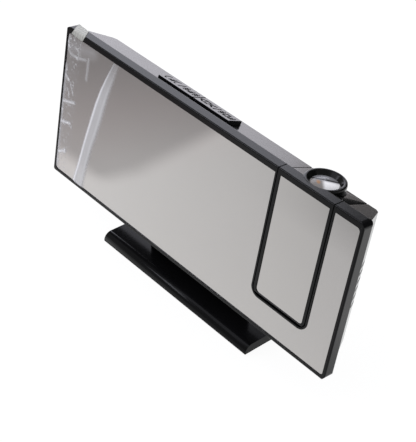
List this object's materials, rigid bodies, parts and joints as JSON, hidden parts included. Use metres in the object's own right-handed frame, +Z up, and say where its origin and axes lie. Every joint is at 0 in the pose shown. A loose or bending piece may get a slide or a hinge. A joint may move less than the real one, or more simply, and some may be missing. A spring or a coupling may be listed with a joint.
{
  "type": "led mirror desk clock",
  "caption": "Wide mirror-faced desk clock leaning back on a foot bar, with keys on its sloping top and a projector arm that folds out of the face.",
  "frame": {"origin": "on the resting surface, under the middle of the foot bar", "axes": "+X along the width to the viewer's right, +Y from the display to the rear, +Z up"},
  "size_m": [0.191, 0.048, 0.0983],
  "materials": {
    "black_frame": "satin black moulded plastic",
    "satin_black": "satin black moulded plastic",
    "gloss_black": "polished black plastic",
    "half_mirror": "half-silvered acrylic",
    "clear_film": "clear transit film",
    "tab_tape": "ribbed off-white tape",
    "key_plastic": "satin dark plastic",
    "ring_black": "satin black plastic",
    "mask_plastic": "matt black plastic",
    "diffuser": "milky diffuser",
    "circuit_board": "green laminate",
    "zinc_steel": "zinc-plated steel",
    "black_screw": "blackened steel",
    "lens_glass": "clear moulded lens",
    "lcd_glass": "small display glass",
    "pad_rubber": "black rubber"
  },
  "bodies": {
    "clock_body": {"front_frame": "black_frame", "main_mirror": "half_mirror", "protective_film": "clear_film", "film_pull_tab": "tab_tape", "rear_housing": "satin_black", "digit_mask": "mask_plastic", "led_digits": "diffuser", "main_board": "circuit_board", "board_screws": "zinc_steel", "key_switches": "mask_plastic", "power_socket": "zinc_steel", "sounder": "mask_plastic", "backup_cell": "zinc_steel", "cell_contact": "zinc_steel", "housing_screws": "black_screw", "foot_base": "gloss_black", "foot_pads": "pad_rubber", "stem_screws": "black_screw"},
    "projector_arm": {"arm_front": "black_frame", "arm_rear": "satin_black", "arm_mirror": "half_mirror", "hinge_pins": "zinc_steel", "arm_screws": "black_screw", "lens_barrel": "mask_plastic", "projector_board": "circuit_board", "projector_led": "diffuser", "condenser_lens": "lens_glass", "projector_lcd": "lcd_glass"},
    "lens_cell": {"objective_lens": "lens_glass"},
    "focus_ring": {"focus_ring": "ring_black"},
    "cell_cover": {"cell_cover": "satin_black"},
    "snooze_key": {"snooze_key": "key_plastic"},
    "light_key": {"light_key": "key_plastic"},
    "set_key": {"set_key": "key_plastic"},
    "up_key": {"up_key": "key_plastic"},
    "down_key": {"down_key": "key_plastic"},
    "alarm_key": {"alarm_key": "key_plastic"},
    "time_key": {"time_key": "key_plastic"}
  },
  "joints": [
    {"name": "arm_swing", "type": "hinge", "parent": "clock_body", "child": "projector_arm", "pos_m": [0.0634, -0.01294, 0.04388], "axis": [1, 0, 0], "range_deg": [0, 90]},
    {"name": "lens_travel", "type": "slide", "parent": "projector_arm", "child": "lens_cell", "axis": [0, 0.095, 0.9955], "range_m": [0, 0.0012]},
    {"name": "focus_turn", "type": "hinge", "parent": "lens_cell", "child": "focus_ring", "pos_m": [0.0634, -0.00325, 0.09599], "axis": [0, 0.095, 0.9955], "range_deg": [0, 270]},
    {"name": "cell_cover_turn", "type": "hinge", "parent": "clock_body", "child": "cell_cover", "pos_m": [0.008, 0.0033, 0.05619], "axis": [0, 0.9955, -0.095], "range_deg": [0, 50]},
    {"name": "snooze_key_press", "type": "slide", "parent": "clock_body", "child": "snooze_key", "axis": [0, -0.378, -0.9258], "range_m": [0, 0.0008], "stiffness_N_per_m": 500, "springref_m": -0.001},
    {"name": "light_key_press", "type": "slide", "parent": "clock_body", "child": "light_key", "axis": [0, -0.378, -0.9258], "range_m": [0, 0.0008], "stiffness_N_per_m": 500, "springref_m": -0.001},
    {"name": "set_key_press", "type": "slide", "parent": "clock_body", "child": "set_key", "axis": [0, -0.9955, 0.095], "range_m": [0, 0.0006], "stiffness_N_per_m": 500, "springref_m": -0.001},
    {"name": "up_key_press", "type": "slide", "parent": "clock_body", "child": "up_key", "axis": [0, -0.9955, 0.095], "range_m": [0, 0.0006], "stiffness_N_per_m": 500, "springref_m": -0.001},
    {"name": "down_key_press", "type": "slide", "parent": "clock_body", "child": "down_key", "axis": [0, -0.9955, 0.095], "range_m": [0, 0.0006], "stiffness_N_per_m": 500, "springref_m": -0.001},
    {"name": "alarm_key_press", "type": "slide", "parent": "clock_body", "child": "alarm_key", "axis": [0, -0.9955, 0.095], "range_m": [0, 0.0006], "stiffness_N_per_m": 500, "springref_m": -0.001},
    {"name": "time_key_press", "type": "slide", "parent": "clock_body", "child": "time_key", "axis": [0, -0.9955, 0.095], "range_m": [0, 0.0006], "stiffness_N_per_m": 500, "springref_m": -0.001}
  ],
  "couplings": [
    {"joint": "lens_travel", "follows": "focus_turn", "m_per_rad": 0.00025465}
  ]
}
